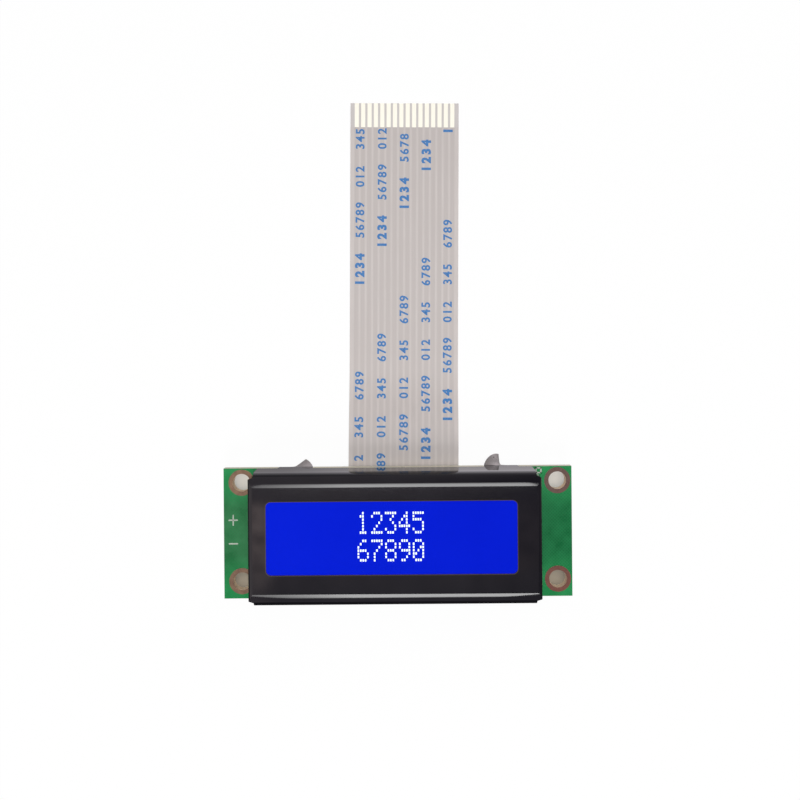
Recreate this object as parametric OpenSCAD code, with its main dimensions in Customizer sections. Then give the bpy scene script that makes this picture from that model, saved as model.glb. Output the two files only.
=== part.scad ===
// Character LCD module: dot-matrix liquid crystal cell behind a folded black bezel
// on a small circuit board, with an edge backlight and a soldered flat ribbon cable.
// Millimetres. X runs along the board, Y towards the ribbon cable, Z out of the display.
// The origin is the centre of the four mounting holes on the board's rear face.

/* [Circuit board] */
// Length of the board along X
board_l = 53.2; // [45:0.1:60]
// Width of the board along Y
board_w = 19.86; // [18:0.02:26]
// Thickness of the laminate
board_t = 1.6; // [0.8:0.1:2]
// Middle of the board from the middle of the hole pattern, along X
board_dx = -0.28; // [-1:0.01:1]
// Middle of the board from the middle of the hole pattern, along Y
board_dy = -0.24; // [-1:0.01:1]
// Mean distance of the mounting holes from the board's ends
hole_in_x = 2.475; // [2:0.025:5]
// Mean distance of the mounting holes from the board's long edges
hole_in_y = 2.405; // [2:0.005:5]
// Finished diameter of a mounting hole
hole_d = 2.7; // [2:0.1:3.4]
// Width of the copper ring round a mounting hole
land_ring = 0.65; // [0.3:0.05:1]
// Thickness of plated copper
copper_t = 0.05; // [0.03:0.01:0.1]

/* [Bezel] */
// Mean length of board left free at each end of the bezel
bezel_in_x = 4.875; // [4.5:0.025:8]
// Mean width of board left free along each long side of the bezel
bezel_in_y = 0.02; // [0:0.01:2]
// Height of the bezel's face above the board
bezel_h = 5.7; // [4.5:0.1:8]
// Middle of the bezel from the middle of the hole pattern, along X
bezel_dx = -0.705; // [-1.5:0.005:1.5]
// Middle of the bezel from the middle of the hole pattern, along Y
bezel_dy = -0.32; // [-1:0.01:1]
// Thickness of the sheet steel
sheet_t = 0.4; // [0.3:0.05:0.6]
// Outer radius of the fold along each long edge
long_fold_r = 2.1; // [0.8:0.1:2.3]
// Lean of the long flanges, outwards from square, in degrees
flange_lean = 1.5; // [0:0.1:6]
// Outer radius of the fold along each short edge
end_fold_r = 0.7; // [0.5:0.1:1.5]
// Length cut off each corner along X
relief_l = 0.75; // [0.4:0.05:1.6]
// Width cut off each corner along Y
relief_w = 0.95; // [0.4:0.05:2]
// Slant of the cut at each corner, along Y
relief_slant = 0.3; // [0:0.05:0.6]
// Gap between the board and the short flanges
end_lift = 0.15; // [0.1:0.05:0.4]
// Mean width of the bezel's face beside the window
window_in_x = 3.185; // [2:0.005:5]
// Mean width of the bezel's face above and below the window
window_in_y = 4.51; // [3.5:0.01:6]
// Corner radius of the window
window_r = 0.75; // [0.3:0.05:1.5]
// Middle of the window from the middle of the bezel, along X
window_dx = -0.485; // [-1:0.005:1]
// Middle of the window from the middle of the bezel, along Y
window_dy = 0.29; // [-1:0.01:1]

/* [Twisted tabs] */
// Distance of the tabs from the ends of the bezel
tab_in = 5.92; // [4:0.01:10]
// Middle of the tabs from the middle of the bezel, along X
tab_dx = 0.57; // [-1:0.01:1]
// Width of a tab where it passes the board
tab_root_w = 5.2; // [3:0.1:6]
// Width of a tab at its tip
tab_tip_w = 3.2; // [2:0.1:5]
// Reach of a tab below the board's rear face
tab_drop = 3; // [2:0.1:4]
// Depth below the rear face where the twist begins
tab_neck = 0.1; // [0.05:0.05:0.5]
// Twist of the tab at the cable edge, left
twist_far_left = 36; // [-90:1:90]
// Twist of the tab at the cable edge, right
twist_far_right = -85; // [-90:1:90]
// Twist of the tab at the free edge, left
twist_near_left = -62; // [-90:1:90]
// Twist of the tab at the free edge, right
twist_near_right = 55; // [-90:1:90]
// Clearance round a tab in its board notch
notch_gap = 0.1; // [0.05:0.05:0.3]

/* [Liquid crystal cell] */
// Clearance of the front glass from the folds of the bezel's long edges
glass_side_gap = 0.19; // [0.1:0.01:0.5]
// Clearance of both glasses from the folds of the bezel's short edges
glass_end_gap = 0.38; // [0.1:0.01:0.8]
// Clearance between the rear glass and the elastomer strips
rear_glass_gap = 0.3; // [0.2:0.05:1]
// Thickness of each glass
glass_t = 0.55; // [0.4:0.05:1.1]
// Gap between the glasses
cell_gap = 0.05; // [0.01:0.01:0.1]
// Width of the seal round the cell
seal_w = 0.7; // [0.5:0.1:1.5]
// Distance of the seal from the glass edge
seal_in = 0.2; // [0:0.1:0.5]
// Thickness of each polarizer
polarizer_t = 0.2; // [0.12:0.01:0.3]
// Clearance of the front polarizer from the bezel's long folds
front_pol_gap = 0.4; // [0.1:0.05:0.6]
// Clearance of both polarizers from the bezel's short folds
polarizer_end_gap = 0.6; // [0.1:0.05:0.8]
// Distance of the rear polarizer from the long edges of its glass
rear_pol_in = 0.2; // [0.1:0.05:0.5]

/* [Elastomer connectors] */
// Distance of an elastomer strip's ends from the ends of the glass
zebra_end_in = 0.4; // [0.2:0.1:1.5]
// Width of an elastomer strip
zebra_w = 1.3; // [1:0.1:2.5]
// Distance of a strip from the edge of the front glass
zebra_in = 0.05; // [0:0.05:0.3]
// Clearance between a strip and the backlight housing
zebra_side_gap = 0.25; // [0.1:0.05:0.5]
// Distance of a gold land's ends from the sides of its strip
zebra_land_in = 0.1; // [0:0.05:0.3]
// Width of a gold land, along the strip
zebra_land_w = 0.7; // [0.3:0.05:1]
// Pitch of the gold lands
zebra_pitch = 1.4; // [0.5:0.05:2]

/* [Backlight] */
// Distance of the backlight housing's ends from the ends of the glass
housing_end_in = 0.3; // [0:0.05:1]
// Wall of the backlight housing
housing_wall = 0.8; // [0.5:0.1:1.5]
// Floor of the backlight housing
housing_floor = 0.4; // [0.3:0.1:1]
// Thickness of the reflector film
reflector_t = 0.1; // [0.05:0.01:0.2]
// Thickness of the diffuser film
diffuser_t = 0.15; // [0.05:0.01:0.3]
// Clearance round what lies in the housing
housing_gap = 0.1; // [0.05:0.05:0.3]
// Thickness of the strip that carries the lamps
lamp_board_t = 0.6; // [0.4:0.1:1]
// Depth of a lamp, along X
lamp_d = 0.8; // [0.5:0.1:1.5]
// Width of a lamp, along Y
lamp_w = 2.8; // [1.6:0.1:4]
// Height of a lamp
lamp_h = 1.2; // [0.8:0.1:2]
// Number of lamps
lamps = 3; // [1:1:6]
// Width of a backlight pin
pin_w = 0.5; // [0.4:0.05:0.8]
// Distance of each backlight pin from the middle, along Y
pin_y = 1.8; // [1:0.1:5]
// Reach of a pin below the board
pin_drop = 1.1; // [0.6:0.1:2]
// Height to which a pin is let into the lamp strip
pin_in = 1; // [0.5:0.1:2]
// Width of the board hole for a pin
pin_hole_d = 1; // [0.8:0.05:1.4]
// Width of the copper ring round a pin's hole
pin_ring = 0.5; // [0.2:0.05:0.8]
// Part of a pin's reach that its solder covers
pin_wet = 0.6; // [0.4:0.05:0.9]

/* [Rear components] */
// Radius of an epoxy dome where it meets the board
dome_r = 4.6; // [3:0.1:6]
// Height of an epoxy dome
dome_h = 1.35; // [0.8:0.05:2]
// Distance of the first dome's middle from the board's left end
dome_in_left = 17.4; // [12:0.1:22]
// Distance of the second dome's middle from the board's right end
dome_in_right = 16.3; // [12:0.1:22]
// Middle of both domes from the middle of the board, along Y
dome_dy = -0.73; // [-3:0.01:3]
// Side of a driver die
die_a = 3.2; // [2:0.1:5]
// Thickness of a driver die
die_t = 0.4; // [0.2:0.05:0.6]
// Length of a chip component
chip_l = 2; // [1:0.1:3.2]
// Width of a chip component
chip_w = 1.25; // [0.5:0.05:1.6]
// Height of a chip resistor with its end caps
resistor_h = 0.55; // [0.35:0.05:0.8]
// Height of a chip capacitor with its end caps
capacitor_h = 0.85; // [0.5:0.05:1.2]
// Length of an end cap
cap_l = 0.4; // [0.2:0.05:0.6]
// Thickness of the metal of an end cap
cap_t = 0.05; // [0.03:0.01:0.1]
// Length of a chip land beyond the component
chip_toe = 0.5; // [0.3:0.05:0.8]
// Length of a chip land under the component
chip_heel = 0.5; // [0.3:0.05:0.8]
// Height of the solder against an end cap
chip_solder_h = 0.35; // [0.2:0.05:0.5]
// Number of resistors in the row at the board's free edge
row_chips = 5; // [1:1:6]
// Pitch of that row
row_pitch = 2.3; // [1.6:0.1:4]
// Distance of that row's middle from the board's free edge
row_in = 2.87; // [2:0.01:4]
// Distance of the resistors beside the backlight pins from them
side_chip_gap = 2.66; // [2:0.01:5]
// Distance between those two resistors, and the offset of the outer capacitor
side_chip_span = 4.8; // [3.4:0.1:8]
// Distance between the two capacitors between the domes
mid_chip_span = 4.4; // [3:0.1:6]
// Middle of those two capacitors from the middle of the domes, along Y
mid_chip_dy = 1.3; // [0:0.1:3]
// Distance of the outer capacitor from the second dome's middle
outer_chip_gap = 7.7; // [6:0.1:12]

/* [Ribbon cable] */
// Number of conductors
ways = 16; // [4:1:30]
// Pitch of the conductors
pitch = 1; // [0.5:0.25:1.25]
// Width of a conductor
wire_w = 0.7; // [0.3:0.05:0.9]
// Thickness of a conductor
wire_t = 0.1; // [0.05:0.01:0.15]
// Thickness of each insulating film
film_t = 0.1; // [0.05:0.01:0.15]
// Middle of the ribbon at the board, along X
ribbon_dx = 0.65; // [-3:0.01:3]
// Lean of the ribbon from square, in degrees
ribbon_lean = 0.65; // [-2:0.01:2]
// Whole length of the ribbon, as if laid flat
ribbon_len = 60; // [40:1:120]
// Length of bare conductor at the board
bare_len = 2.6; // [2:0.1:4]
// Gap between the upper film and the board's rear face
film_gap = 0.1; // [0.05:0.05:0.3]
// Length of the bare contacts at the free end
contact_len = 3.8; // [3:0.1:6]
// Length of the stiffener at the free end
stiffener_len = 8; // [4:0.5:12]
// Thickness of the stiffener
stiffener_t = 0.2; // [0.15:0.01:0.3]
// Radius of the two bends in which the ribbon comes down
bend_r = 30; // [10:1:60]
// Distance from the board's edge to the first bend
bend_start = 0.4; // [0:0.1:5]
// Width of a ribbon land beyond each side of its conductor
ribbon_land_over = 0.03; // [0:0.01:0.1]
// Distance of the ribbon lands from the board's edge
ribbon_land_in = 0.5; // [0.3:0.1:2]
// Width of a solder joint beyond each side of its conductor
joint_over = 0.07; // [0.03:0.01:0.1]
// Distance of a solder joint from the ends of its land
joint_in = 0.13; // [0:0.01:0.3]

/* [Hidden] */
$fn = 96;
eps = 0.01;
twist_slices = 14;
hole_r = hole_d / 2;
hole_span_x = board_l - 2 * hole_in_x;
hole_span_y = board_w - 2 * hole_in_y;
bezel_l = board_l - 2 * bezel_in_x;
bezel_w = board_w - 2 * bezel_in_y;
window_l = bezel_l - 2 * window_in_x;
window_w = bezel_w - 2 * window_in_y;
board_x0 = board_dx - board_l / 2;
board_x1 = board_dx + board_l / 2;
board_y0 = board_dy - board_w / 2;
board_y1 = board_dy + board_w / 2;
bezel_x0 = bezel_dx - bezel_l / 2;
bezel_x1 = bezel_dx + bezel_l / 2;
bezel_y0 = bezel_dy - bezel_w / 2;
bezel_y1 = bezel_dy + bezel_w / 2;
face_z = board_t + bezel_h;
inner_z = face_z - sheet_t;
flange_h = bezel_h - long_fold_r + long_fold_r * sin(flange_lean);
flange_out = flange_h * tan(flange_lean) - long_fold_r * (1 - cos(flange_lean));
flange_y0 = bezel_y0 - flange_out;
flange_y1 = bezel_y1 + flange_out;
tab_far_y = flange_y1 - sheet_t / 2;
tab_near_y = flange_y0 + sheet_t / 2;
tab_x0 = bezel_x0 + tab_dx + tab_in;
tab_x1 = bezel_x1 + tab_dx - tab_in;
inner_l = bezel_l - 2 * sheet_t;
inner_w = bezel_w - 2 * sheet_t;
// How far a fold leans in over a piece that lies one polarizer below the face
function fold_in(r) = r - sqrt(r * r - pow(max(r - polarizer_t, 0), 2));
glass_l = inner_l - 2 * (fold_in(end_fold_r - sheet_t) + glass_end_gap);
front_glass_w = inner_w - 2 * (fold_in(long_fold_r - sheet_t) + glass_side_gap);
polarizer_l = inner_l - 2 * (end_fold_r - sheet_t + polarizer_end_gap);
front_pol_w = inner_w - 2 * (long_fold_r - sheet_t + front_pol_gap);
zebra_l = glass_l - 2 * zebra_end_in;
zebra_span = front_glass_w - zebra_w - 2 * zebra_in;
zebra_lands = floor(zebra_l / zebra_pitch) - 1;
zebra_land_l = zebra_w - 2 * zebra_land_in;
rear_glass_w = zebra_span - zebra_w - 2 * rear_glass_gap;
rear_pol_w = rear_glass_w - 2 * rear_pol_in;
housing_l = glass_l - 2 * housing_end_in;
housing_w = zebra_span - zebra_w - 2 * zebra_side_gap;
front_pol_z = inner_z - polarizer_t;
front_glass_z = front_pol_z - glass_t;
cell_z = front_glass_z - cell_gap;
rear_glass_z = cell_z - glass_t;
rear_pol_z = rear_glass_z - polarizer_t;
diffuser_z = rear_pol_z - diffuser_t;
housing_in_z = board_t + housing_floor;
guide_z = housing_in_z + reflector_t;
pocket_l = housing_l - 2 * housing_wall;
pocket_w = housing_w - 2 * housing_wall;
pocket_x0 = bezel_dx - pocket_l / 2;
lamp_pitch = pocket_w / lamps;
lamp_board_x1 = pocket_x0 + housing_gap + lamp_board_t;
lamp_x1 = lamp_board_x1 + lamp_d;
pin_x = pocket_x0 + housing_gap + lamp_board_t / 2;
pin_land_r = pin_hole_d / 2 + pin_ring;
dome_x1 = board_x0 + dome_in_left;
dome_x2 = board_x1 - dome_in_right;
dome_y = board_dy + dome_dy;
ribbon_w = (ways + 1) * pitch;
ribbon_land_l = bare_len;
ribbon_land_w = wire_w + 2 * ribbon_land_over;
joint_r = wire_w / 2 + joint_over;
joint_l = ribbon_land_l - 2 * (joint_r + joint_in);
film_low = -(wire_t + film_t);
ref_z = -(film_gap + film_t);
rest_z = -tab_drop;
low_ref_z = rest_z + stiffener_t + film_t + wire_t;
fall = ref_z - low_ref_z;
bend_a = acos(1 - fall / (2 * bend_r));
bend_y0 = board_y1 + bend_start;
bend_y1 = bend_y0 + 2 * bend_r * sin(bend_a);
land_far_y = board_y1 - ribbon_land_in;
wire_y0 = land_far_y - bare_len;
arc_extra = 2 * bend_r * (bend_a * PI / 180 - sin(bend_a));
ribbon_y1 = wire_y0 + ribbon_len - arc_extra;
film_y0 = wire_y0 + bare_len;
lean_y = land_far_y;
dome_ball_r = (dome_r * dome_r + dome_h * dome_h) / (2 * dome_h);

// Folded bezel: one sheet with a window, four flanges and four twisted tabs

// Cross-section of a folded tray, open below, with rounded upper corners and leaning sides
module tray_profile(w, h, r, lean) {
  mid = w / 2 - r;
  wall_x = mid + r * cos(lean);
  wall_h = h - r + r * sin(lean);
  foot = wall_x + wall_h * tan(lean);
  polygon([[-foot, 0], [foot, 0], [wall_x, wall_h], [mid, h], [-mid, h], [-wall_x, wall_h]]);
  for (s = [-1, 1]) translate([s * mid, h - r]) circle(r);
}

// The tray as the common part of its two cross-sections
module tray(l, w, h, rl, re) {
  intersection() {
    rotate([90, 0, 90]) linear_extrude(l, center = true) tray_profile(w, h, rl, flange_lean);
    rotate([90, 0, 0]) linear_extrude(w + 2 * h, center = true) tray_profile(l, h, re, 0);
  }
}

// The notch that frees the flanges at a corner
module corner_cut() {
  linear_extrude(bezel_h + 2 * eps)
    polygon([[-eps, -2 * flange_out - eps], [relief_l, -2 * flange_out - eps],
             [relief_l, relief_w - relief_slant], [0, relief_w], [-eps, relief_w]]);
}

module rounded_plate(l, w, r, t) {
  linear_extrude(t) {
    square([l - 2 * r, w], center = true);
    square([l, w - 2 * r], center = true);
    for (x = [-1, 1]) {
      for (y = [-1, 1]) translate([x * (l / 2 - r), y * (w / 2 - r)]) circle(r);
    }
  }
}

// A tab: straight past the board, then narrowing and twisting to its tip
module twisted_tab(turn) {
  translate([-tab_root_w / 2, -sheet_t / 2, -tab_neck])
    cube([tab_root_w, sheet_t, board_t + tab_neck + eps]);
  translate([0, 0, -tab_neck]) mirror([0, 0, 1])
    linear_extrude(tab_drop - tab_neck, twist = -turn, scale = tab_tip_w / tab_root_w,
                   slices = twist_slices, segments = 8)
      square([tab_root_w, sheet_t], center = true);
}

module bezel() {
  color([0.06, 0.06, 0.07]) {
    difference() {
      translate([bezel_dx, bezel_dy, board_t])
        tray(bezel_l, bezel_w, bezel_h, long_fold_r, end_fold_r);
      translate([bezel_dx, bezel_dy, board_t - eps])
        tray(bezel_l - 2 * sheet_t, bezel_w - 2 * sheet_t, bezel_h - sheet_t + eps,
             long_fold_r - sheet_t, end_fold_r - sheet_t);
      translate([bezel_dx + window_dx, bezel_dy + window_dy, inner_z - eps])
        rounded_plate(window_l, window_w, window_r, sheet_t + 2 * eps);
      for (sx = [0, 1]) {
        for (sy = [0, 1])
          translate([sx == 0 ? bezel_x0 : bezel_x1, sy == 0 ? bezel_y0 : bezel_y1, board_t - eps])
            mirror([sx, 0, 0]) mirror([0, sy, 0]) corner_cut();
        translate([sx == 0 ? bezel_x0 - eps : bezel_x1 - relief_l, bezel_y0 + relief_w / 2, board_t - eps])
          cube([relief_l + eps, bezel_w - relief_w, end_lift + eps]);
      }
    }
    translate([tab_x0, tab_far_y, 0]) twisted_tab(twist_far_left);
    translate([tab_x1, tab_far_y, 0]) twisted_tab(twist_far_right);
    translate([tab_x0, tab_near_y, 0]) twisted_tab(twist_near_left);
    translate([tab_x1, tab_near_y, 0]) twisted_tab(twist_near_right);
  }
}

// Circuit board with plated holes, notches for the tabs and holes for the pins

module at_holes() {
  for (x = [-1, 1]) {
    for (y = [-1, 1]) translate([x * hole_span_x / 2, y * hole_span_y / 2, 0]) children();
  }
}

module at_pins() {
  for (y = [-1, 1]) translate([pin_x, y * pin_y, 0]) children();
}

module circuit_board() {
  color([0.1, 0.36, 0.22])
    difference() {
      translate([board_x0, board_y0, 0]) cube([board_l, board_w, board_t]);
      at_holes() translate([0, 0, -eps]) cylinder(r = hole_r + copper_t, h = board_t + 2 * eps);
      at_pins() translate([0, 0, -eps]) cylinder(d = pin_hole_d + 2 * copper_t, h = board_t + 2 * eps);
      for (x = [tab_x0, tab_x1]) {
        translate([x - tab_root_w / 2 - notch_gap, flange_y1 - sheet_t - notch_gap, -eps])
          cube([tab_root_w + 2 * notch_gap, board_w, board_t + 2 * eps]);
        translate([x - tab_root_w / 2 - notch_gap, flange_y0 + sheet_t + notch_gap - board_w, -eps])
          cube([tab_root_w + 2 * notch_gap, board_w, board_t + 2 * eps]);
      }
    }
}

// A plated eyelet: barrel through the board with a land on each face
module eyelet(bore_r, out_r) {
  rotate_extrude() {
    translate([bore_r, -copper_t]) square([copper_t, board_t + 2 * copper_t]);
    translate([bore_r, -copper_t]) square([out_r - bore_r, copper_t]);
    translate([bore_r, board_t]) square([out_r - bore_r, copper_t]);
  }
}

module mounting_lands() {
  color([0.72, 0.5, 0.36]) at_holes() eyelet(hole_r, hole_r + land_ring);
}

module pin_lands() {
  color([0.8, 0.62, 0.3])
    at_pins() {
      rotate_extrude() {
        translate([pin_hole_d / 2, -copper_t]) square([copper_t, board_t + copper_t]);
        translate([pin_hole_d / 2, -copper_t]) square([pin_ring, copper_t]);
      }
    }
}

// Liquid crystal cell: two glasses, seal, crystal layer and two polarizers

module sheet(l, w, z, t) {
  translate([bezel_dx - l / 2, bezel_dy - w / 2, z]) cube([l, w, t]);
}

module front_polarizer() {
  color([0.1, 0.2, 0.8, 0.5]) sheet(polarizer_l, front_pol_w, front_pol_z, polarizer_t);
}

module front_glass() {
  color([0.8, 0.9, 0.95, 0.4]) sheet(glass_l, front_glass_w, front_glass_z, glass_t);
}

module rear_glass() {
  color([0.8, 0.9, 0.95, 0.4]) sheet(glass_l, rear_glass_w, rear_glass_z, glass_t);
}

module rear_polarizer() {
  color([0.2, 0.25, 0.5, 0.6]) sheet(polarizer_l, rear_pol_w, rear_pol_z, polarizer_t);
}

module cell_seal() {
  color([0.85, 0.85, 0.8])
    difference() {
      sheet(glass_l - 2 * seal_in, rear_glass_w - 2 * seal_in, cell_z, cell_gap);
      sheet(glass_l - 2 * (seal_in + seal_w), rear_glass_w - 2 * (seal_in + seal_w),
            cell_z - eps, cell_gap + 2 * eps);
    }
}

module crystal_layer() {
  color([0.04, 0.14, 0.85])
    sheet(glass_l - 2 * (seal_in + seal_w), rear_glass_w - 2 * (seal_in + seal_w), cell_z, cell_gap);
}

// Elastomer connectors between the board's gold lands and the glass ledges

module elastomer_strips() {
  color([0.8, 0.55, 0.55])
    for (s = [-1, 1])
      translate([bezel_dx - zebra_l / 2, bezel_dy + s * zebra_span / 2 - zebra_w / 2, board_t + copper_t])
        cube([zebra_l, zebra_w, front_glass_z - board_t - copper_t]);
}

module elastomer_lands() {
  color([0.85, 0.68, 0.3])
    for (s = [-1, 1]) {
      for (i = [0 : zebra_lands - 1])
        translate([bezel_dx + (i - (zebra_lands - 1) / 2) * zebra_pitch - zebra_land_w / 2,
                   bezel_dy + s * zebra_span / 2 - zebra_land_l / 2, board_t])
          cube([zebra_land_w, zebra_land_l, copper_t]);
    }
}

// Edge backlight: white housing, films, light guide and a strip of lamps

module backlight_housing() {
  color([0.93, 0.93, 0.9])
    difference() {
      sheet(housing_l, housing_w, board_t, rear_pol_z - board_t);
      sheet(pocket_l, pocket_w, housing_in_z, rear_pol_z - housing_in_z + eps);
      at_pins() translate([0, 0, board_t - eps]) cylinder(d = pin_hole_d, h = housing_floor + 2 * eps);
    }
}

module reflector_film() {
  color([0.96, 0.96, 0.97])
    translate([lamp_board_x1 + housing_gap, bezel_dy - pocket_w / 2 + housing_gap, housing_in_z])
      cube([pocket_x0 + pocket_l - lamp_board_x1 - 2 * housing_gap, pocket_w - 2 * housing_gap, reflector_t]);
}

module light_guide() {
  color([0.9, 0.95, 1, 0.6])
    translate([lamp_x1 + housing_gap, bezel_dy - pocket_w / 2 + housing_gap, guide_z])
      cube([pocket_x0 + pocket_l - lamp_x1 - 2 * housing_gap, pocket_w - 2 * housing_gap, diffuser_z - guide_z]);
}

module diffuser_film() {
  color([0.97, 0.97, 1])
    sheet(pocket_l - 2 * housing_gap, pocket_w - 2 * housing_gap, diffuser_z, diffuser_t);
}

module lamp_board() {
  color([0.9, 0.9, 0.86])
    difference() {
      translate([pocket_x0 + housing_gap, bezel_dy - pocket_w / 2 + housing_gap, housing_in_z])
        cube([lamp_board_t, pocket_w - 2 * housing_gap, diffuser_z - housing_in_z]);
      at_pins() translate([-pin_w / 2, -pin_w / 2, 0]) cube([pin_w, pin_w, housing_in_z + pin_in]);
    }
}

module lamps_white() {
  color([0.95, 0.9, 0.5])
    for (i = [0 : lamps - 1])
      translate([lamp_board_x1, bezel_dy + (i - (lamps - 1) / 2) * lamp_pitch - lamp_w / 2,
                 (guide_z + diffuser_z - lamp_h) / 2])
        cube([lamp_d, lamp_w, lamp_h]);
}

module pin_bar() {
  translate([-pin_w / 2, -pin_w / 2, -pin_drop]) cube([pin_w, pin_w, pin_drop + housing_in_z + pin_in]);
}

module backlight_pins() {
  color([0.8, 0.8, 0.8]) at_pins() pin_bar();
}

module pin_solder() {
  color([0.78, 0.78, 0.8])
    at_pins()
      difference() {
        union() {
          translate([0, 0, -copper_t - pin_drop * pin_wet])
            cylinder(r1 = pin_w, r2 = pin_land_r - copper_t, h = pin_drop * pin_wet);
          translate([0, 0, -copper_t]) cylinder(d = pin_hole_d, h = board_t + copper_t);
        }
        pin_bar();
      }
}

// Two driver chips on the rear face, each under an epoxy dome

module at_domes() {
  for (x = [dome_x1, dome_x2]) translate([x, dome_y, 0]) children();
}

module driver_dies() {
  color([0.35, 0.36, 0.4])
    at_domes() translate([-die_a / 2, -die_a / 2, -die_t]) cube([die_a, die_a, die_t]);
}

module epoxy_domes() {
  color([0.05, 0.05, 0.05])
    at_domes()
      difference() {
        translate([0, 0, dome_ball_r - dome_h]) sphere(dome_ball_r);
        translate([-2 * dome_ball_r, -2 * dome_ball_r, 0])
          cube([4 * dome_ball_r, 4 * dome_ball_r, 3 * dome_ball_r]);
        translate([-die_a / 2, -die_a / 2, -die_t]) cube([die_a, die_a, die_t + eps]);
      }
}

// Chip resistors and capacitors on the rear face, lying along X before they are placed

module at_resistors() {
  for (i = [0 : row_chips - 1])
    translate([(dome_x1 + dome_x2) / 2 + (i - (row_chips - 1) / 2) * row_pitch, board_y0 + row_in, 0])
      rotate(90) children();
  for (s = [-1, 1])
    translate([pin_x + side_chip_gap, s * side_chip_span / 2, 0]) rotate(90) children();
}

module at_capacitors() {
  for (s = [-1, 1])
    translate([(dome_x1 + dome_x2) / 2, dome_y + mid_chip_dy + s * mid_chip_span / 2, 0]) children();
  translate([dome_x2 + outer_chip_gap, side_chip_span / 2, 0]) rotate(90) children();
}

module chip_body(h) {
  translate([-chip_l / 2 + cap_t, -chip_w / 2 + cap_t, -copper_t - h + cap_t])
    cube([chip_l - 2 * cap_t, chip_w - 2 * cap_t, h - 2 * cap_t]);
}

module chip_caps(h) {
  difference() {
    for (s = [0, 1]) mirror([s, 0, 0])
      translate([chip_l / 2 - cap_l, -chip_w / 2, -copper_t - h]) cube([cap_l, chip_w, h]);
    chip_body(h);
  }
}

module resistor_bodies() {
  color([0.08, 0.08, 0.09]) at_resistors() chip_body(resistor_h);
}

module resistor_caps() {
  color([0.8, 0.8, 0.8]) at_resistors() chip_caps(resistor_h);
}

module capacitor_bodies() {
  color([0.62, 0.48, 0.36]) at_capacitors() chip_body(capacitor_h);
}

module capacitor_caps() {
  color([0.8, 0.8, 0.8]) at_capacitors() chip_caps(capacitor_h);
}

module land_pair() {
  for (s = [0, 1]) mirror([s, 0, 0])
    translate([chip_l / 2 - chip_heel, -chip_w / 2 - cap_t, -copper_t])
      cube([chip_heel + chip_toe, chip_w + 2 * cap_t, copper_t]);
}

module solder_pair() {
  for (s = [0, 1]) mirror([s, 0, 0])
    translate([chip_l / 2, chip_w / 2, -copper_t]) rotate([90, 0, 0])
      linear_extrude(chip_w)
        polygon([[0, 0], [chip_toe - cap_t, 0], [chip_toe / 3, -chip_solder_h / 3], [0, -chip_solder_h]]);
}

module chip_lands() {
  color([0.8, 0.62, 0.3]) {
    at_resistors() land_pair();
    at_capacitors() land_pair();
  }
}

module chip_solder() {
  color([0.78, 0.78, 0.8]) {
    at_resistors() solder_pair();
    at_capacitors() solder_pair();
  }
}

// Flat ribbon cable: lies under the board's edge and comes down to the rest plane

// Band of a ring between two radii, over the angles a0 to a1
module arc_band(r0, r1, a0, a1) {
  reach = 2 * r1;
  intersection() {
    difference() {
      circle(r1);
      circle(r0);
    }
    polygon([[0, 0], [reach * cos(a0), reach * sin(a0)], [reach * cos(a1), reach * sin(a1)]]);
  }
}

// Side view of one layer, from y0 to y1, between the heights t0 and t1 over the ribbon's middle
module layer_profile(y0, y1, t0, t1) {
  translate([y0, ref_z + t0]) square([bend_y0 - y0, t1 - t0]);
  translate([bend_y0, ref_z - bend_r]) arc_band(bend_r + t0, bend_r + t1, 90 - bend_a, 90);
  translate([bend_y1, low_ref_z + bend_r]) arc_band(bend_r - t1, bend_r - t0, 270 - bend_a, 270);
  translate([bend_y1, low_ref_z + t0]) square([y1 - bend_y1, t1 - t0]);
}

module layer(w, y0, y1, t0, t1) {
  rotate([90, 0, 90]) linear_extrude(w, center = true) layer_profile(y0, y1, t0, t1);
}

module lean() {
  translate([ribbon_dx, lean_y, 0]) rotate(-ribbon_lean) translate([0, -lean_y, 0]) children();
}

module at_ways() {
  for (i = [0 : ways - 1]) translate([(i - (ways - 1) / 2) * pitch, 0, 0]) children();
}

module wire() {
  layer(wire_w, wire_y0, ribbon_y1, -wire_t, 0);
}

module ribbon_conductors() {
  color([0.85, 0.84, 0.8]) lean() at_ways() wire();
}

module ribbon_upper_film() {
  color([0.8, 0.78, 0.77]) lean() layer(ribbon_w, film_y0, ribbon_y1 - contact_len, 0, film_t);
}

module ribbon_lower_film() {
  color([0.8, 0.78, 0.77])
    lean()
      difference() {
        layer(ribbon_w, film_y0, ribbon_y1, film_low, 0);
        at_ways() wire();
      }
}

module ribbon_stiffener() {
  color([0.82, 0.82, 0.82])
    lean() translate([-ribbon_w / 2, ribbon_y1 - stiffener_len, rest_z])
      cube([ribbon_w, stiffener_len, stiffener_t]);
}

module ribbon_lands() {
  color([0.85, 0.68, 0.3])
    translate([ribbon_dx, land_far_y - ribbon_land_l, -copper_t])
      at_ways() translate([-ribbon_land_w / 2, 0, 0]) cube([ribbon_land_w, ribbon_land_l, copper_t]);
}

module ribbon_solder() {
  color([0.78, 0.78, 0.8])
    difference() {
      translate([ribbon_dx, land_far_y - ribbon_land_l / 2, -copper_t])
        at_ways()
          difference() {
            union() {
              rotate([90, 0, 0]) cylinder(r = joint_r, h = joint_l, center = true);
              for (s = [-1, 1]) translate([0, s * joint_l / 2, 0]) sphere(joint_r);
            }
            translate([-1, -ribbon_land_l, 0]) cube([2, 2 * ribbon_land_l, 1]);
          }
      lean() at_ways() wire();
    }
}

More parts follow.
